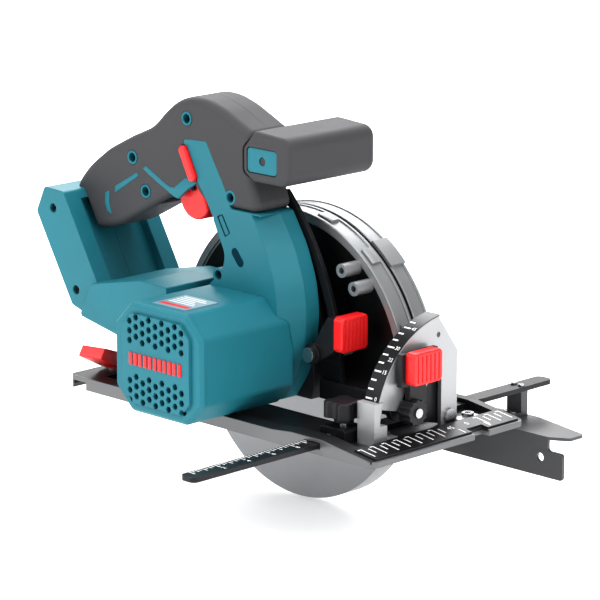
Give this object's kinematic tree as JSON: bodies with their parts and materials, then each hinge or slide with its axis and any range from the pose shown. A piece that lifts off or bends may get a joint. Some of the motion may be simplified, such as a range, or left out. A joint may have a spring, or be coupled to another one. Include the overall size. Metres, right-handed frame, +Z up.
{
  "type": "circular saw",
  "caption": "Battery circular saw with side motor, closed top handle, cross handle, sprung blade guard, bevel and depth clamps, and a sliding rip guide.",
  "frame": {"origin": "on the sole's underside, straight below the blade spindle, in the blade's plane", "axes": "+X the cutting direction, +Y away from the motor, +Z up from the sole"},
  "size_m": [0.3216, 0.311, 0.256],
  "materials": {
    "cast_base": "satin",
    "black_steel": "satin",
    "plated_steel": "satin",
    "bright_steel": "satin",
    "blade_steel": "satin",
    "cast_guard": "satin",
    "gear_casting": "satin",
    "lower_guard_metal": "satin",
    "stator_core": "satin",
    "circuit_board": "gloss",
    "teal_plastic": "fine texture",
    "grey_grip": "soft touch",
    "red_plastic": "satin",
    "black_plastic": "satin",
    "brass_contact": "polished",
    "dark_screw": "satin",
    "label_film": "satin"
  },
  "bodies": {
    "base": {"base_plate": "cast_base", "front_scale_plate": "black_steel", "quadrant_plate": "plated_steel", "quadrant_foot": "plated_steel", "rear_pivot_bracket": "plated_steel", "front_tilt_pin": "bright_steel", "rear_tilt_pin": "bright_steel", "guide_holder": "black_steel", "base_screws": "bright_steel"},
    "rip_guide": {"guide_bar": "black_steel", "guide_post": "black_steel", "guide_fence": "black_steel", "guide_rivets": "bright_steel"},
    "guide_knob": {"guide_knob": "black_plastic", "knob_screw": "bright_steel"},
    "rear_clamp_lever": {"rear_clamp_lever": "red_plastic"},
    "tilt_frame": {"tilt_bracket_front": "black_steel", "tilt_bracket_rear": "plated_steel", "depth_guide": "black_steel", "depth_pivot_pin": "bright_steel", "bevel_clamp_bolt": "bright_steel"},
    "bevel_lever": {"bevel_lever_hub": "black_plastic", "bevel_lever_pad": "red_plastic"},
    "saw_head": {"upper_guard_inner": "cast_guard", "upper_guard_outer": "cast_guard", "guard_screws": "bright_steel", "gear_housing": "gear_casting", "bearings": "bright_steel", "stator": "stator_core", "controller_board": "circuit_board", "body_shell_right": "teal_plastic", "body_shell_left": "teal_plastic", "handle_grip_right": "grey_grip", "handle_grip_left": "grey_grip", "front_handle": "grey_grip", "front_handle_inset": "teal_plastic", "motor_housing": "teal_plastic", "vent_cover": "teal_plastic", "terminal_block": "black_plastic", "battery_terminals": "brass_contact", "rating_label": "label_film", "housing_screws": "dark_screw", "switch_body": "black_plastic", "depth_clamp_bolt": "bright_steel"},
    "blade_spindle": {"saw_blade": "blade_steel", "spindle": "bright_steel", "inner_flange": "bright_steel", "outer_flange": "bright_steel", "blade_bolt": "dark_screw", "driven_gear": "bright_steel"},
    "rotor": {"motor_shaft": "bright_steel", "rotor_core": "stator_core", "cooling_fan": "black_plastic"},
    "lower_guard": {"lower_guard": "lower_guard_metal", "guard_lever": "black_plastic"},
    "trigger": {"trigger": "red_plastic"},
    "lock_off_button": {"lock_off_button": "red_plastic"},
    "spindle_lock_button": {"spindle_lock_button": "black_plastic"},
    "depth_lever": {"depth_lever_hub": "black_plastic", "depth_lever_pad": "red_plastic"}
  },
  "joints": [
    {"name": "rip_guide_slide", "type": "slide", "parent": "base", "child": "rip_guide", "axis": [0, 1, 0], "range_m": [-0.04, 0.06]},
    {"name": "guide_knob_turn", "type": "hinge", "parent": "base", "child": "guide_knob", "pos_m": [0.095, -0.065, 0.02], "axis": [0, 0, 1], "range_deg": [-360, 0]},
    {"name": "rear_clamp_lever_turn", "type": "hinge", "parent": "base", "child": "rear_clamp_lever", "pos_m": [-0.111, -0.062, 0.01], "axis": [0, 0, 1], "range_deg": [-50, 0]},
    {"name": "bevel_tilt", "type": "hinge", "parent": "base", "child": "tilt_frame", "pos_m": [0, 0, 0.01], "axis": [-1, 0, 0], "range_deg": [0, 50]},
    {"name": "bevel_lock_turn", "type": "hinge", "parent": "tilt_frame", "child": "bevel_lever", "pos_m": [0.123, -0.03941, 0.0213], "axis": [1, 0, 0], "range_deg": [0, 40]},
    {"name": "depth_swing", "type": "hinge", "parent": "tilt_frame", "child": "saw_head", "pos_m": [-0.11, -0.017, 0.02], "axis": [0, -1, 0], "range_deg": [0, 32]},
    {"name": "blade_spin", "type": "hinge", "parent": "saw_head", "child": "blade_spindle", "pos_m": [0, 0, 0.024], "axis": [0, -1, 0], "continuous": true},
    {"name": "rotor_spin", "type": "hinge", "parent": "saw_head", "child": "rotor", "pos_m": [-0.003, -0.06, 0.04403], "axis": [0, -1, 0], "continuous": true},
    {"name": "lower_guard_turn", "type": "hinge", "parent": "saw_head", "child": "lower_guard", "pos_m": [0, 0, 0.024], "axis": [0, 1, 0], "range_deg": [0, 160], "stiffness_Nm_per_rad": 0.06, "springref_deg": -68.75},
    {"name": "trigger_pull", "type": "hinge", "parent": "saw_head", "child": "trigger", "pos_m": [-0.044, -0.043, 0.134], "axis": [0, 1, 0], "range_deg": [0, 12], "stiffness_Nm_per_rad": 0.5, "springref_deg": -5.73},
    {"name": "lock_off_push", "type": "slide", "parent": "saw_head", "child": "lock_off_button", "axis": [0, 1, 0], "range_m": [0, 0.0035], "stiffness_N_per_m": 400, "springref_m": -0.002},
    {"name": "spindle_lock_push", "type": "slide", "parent": "saw_head", "child": "spindle_lock_button", "axis": [-1, 0, 0], "range_m": [0, 0.0035], "stiffness_N_per_m": 500, "springref_m": -0.002},
    {"name": "depth_lock_turn", "type": "hinge", "parent": "saw_head", "child": "depth_lever", "pos_m": [0.04923, -0.04, 0.0438], "axis": [0, 1, 0], "range_deg": [0, 35]}
  ],
  "couplings": [
    {"joint": "rotor_spin", "follows": "blade_spin", "ratio": -5}
  ]
}
